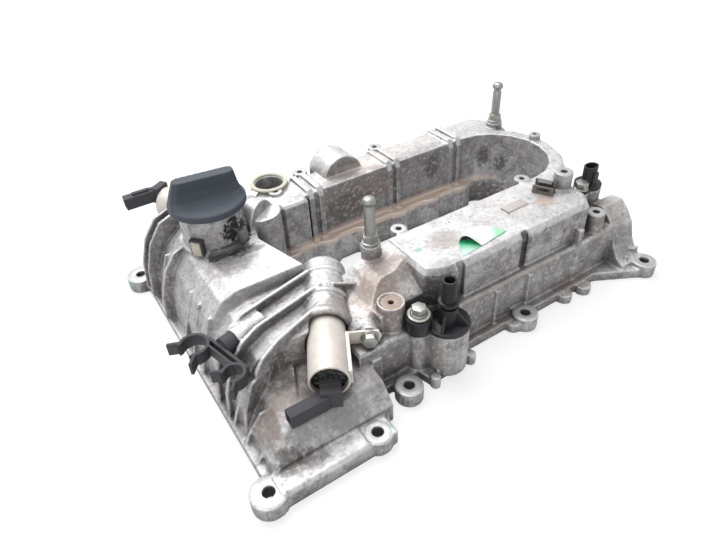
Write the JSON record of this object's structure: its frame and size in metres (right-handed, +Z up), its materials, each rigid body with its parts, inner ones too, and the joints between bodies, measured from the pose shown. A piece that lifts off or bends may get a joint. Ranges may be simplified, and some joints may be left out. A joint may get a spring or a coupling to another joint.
{
  "type": "engine valve cover",
  "caption": "Cast engine valve cover around a long central window, with its filler cap, control valves, breather fitting, cam sensor, studs, clips and inner baffles.",
  "frame": {"origin": "halfway between the two front corner bolts, on the gasket face", "axes": "+X from the front bolts to the rear, +Y to the left side, +Z up from the gasket face"},
  "size_m": [0.4237, 0.302, 0.1335],
  "materials": {
    "cast_aluminium": "sand-blasted casting, oil-stained",
    "gasket_rubber": "matt black",
    "cap_plastic": "fine-grained dark slate",
    "seal_rubber": "matt black",
    "tab_plastic": "cream",
    "valve_steel": "ground",
    "can_steel": "dull cream plating",
    "connector_plastic": "satin dark grey",
    "bolt_steel": "dull zinc",
    "fitting_plastic": "satin black",
    "port_rubber": "dusty greenish cream",
    "clip_plastic": "satin dark grey",
    "clip_steel": "dark oiled spring steel",
    "tape": "glossy green film",
    "baffle_steel": "plain sheet"
  },
  "bodies": {
    "cover": {"baffle_screw_left_1": "bolt_steel", "baffle_screw_left_2": "bolt_steel", "baffle_screw_left_3": "bolt_steel", "baffle_screw_left_4": "bolt_steel", "baffle_screw_right_1": "bolt_steel", "baffle_screw_right_2": "bolt_steel", "baffle_screw_right_3": "bolt_steel", "baffle_screw_right_4": "bolt_steel", "breather_bolt": "bolt_steel", "breather_bush": "valve_steel", "breather_fitting": "fitting_plastic", "breather_ring": "seal_rubber", "breather_washer": "bolt_steel", "cam_sensor": "fitting_plastic", "cam_sensor_bolt": "bolt_steel", "cam_sensor_ring": "seal_rubber", "control_valve_left": "valve_steel", "control_valve_right": "valve_steel", "cover_casting": "cast_aluminium", "cover_stud_front": "bolt_steel", "cover_stud_rear": "bolt_steel", "harness_clip": "clip_steel", "neck_tab_front": "tab_plastic", "neck_tab_side": "tab_plastic", "oil_baffle_left": "baffle_steel", "oil_baffle_right": "baffle_steel", "perimeter_gasket": "gasket_rubber", "pipe_clip": "clip_plastic", "port_seal": "port_rubber", "solenoid_bolt_left": "bolt_steel", "solenoid_bolt_right": "bolt_steel", "solenoid_bracket_left": "can_steel", "solenoid_bracket_right": "can_steel", "solenoid_can_left": "can_steel", "solenoid_can_right": "can_steel", "solenoid_connector_left": "connector_plastic", "solenoid_connector_right": "connector_plastic", "tape_scrap": "tape", "valve_ring_left": "seal_rubber", "valve_ring_right": "seal_rubber"},
    "filler_cap": {"oil_cap": "cap_plastic", "oil_cap_seal": "seal_rubber"}
  },
  "joints": [
    {"name": "cap_turn", "type": "hinge", "parent": "cover", "child": "filler_cap", "pos_m": [0.058, 0.061, 0.106], "axis": [0, 0, 1], "range_deg": [0, 90]}
  ]
}
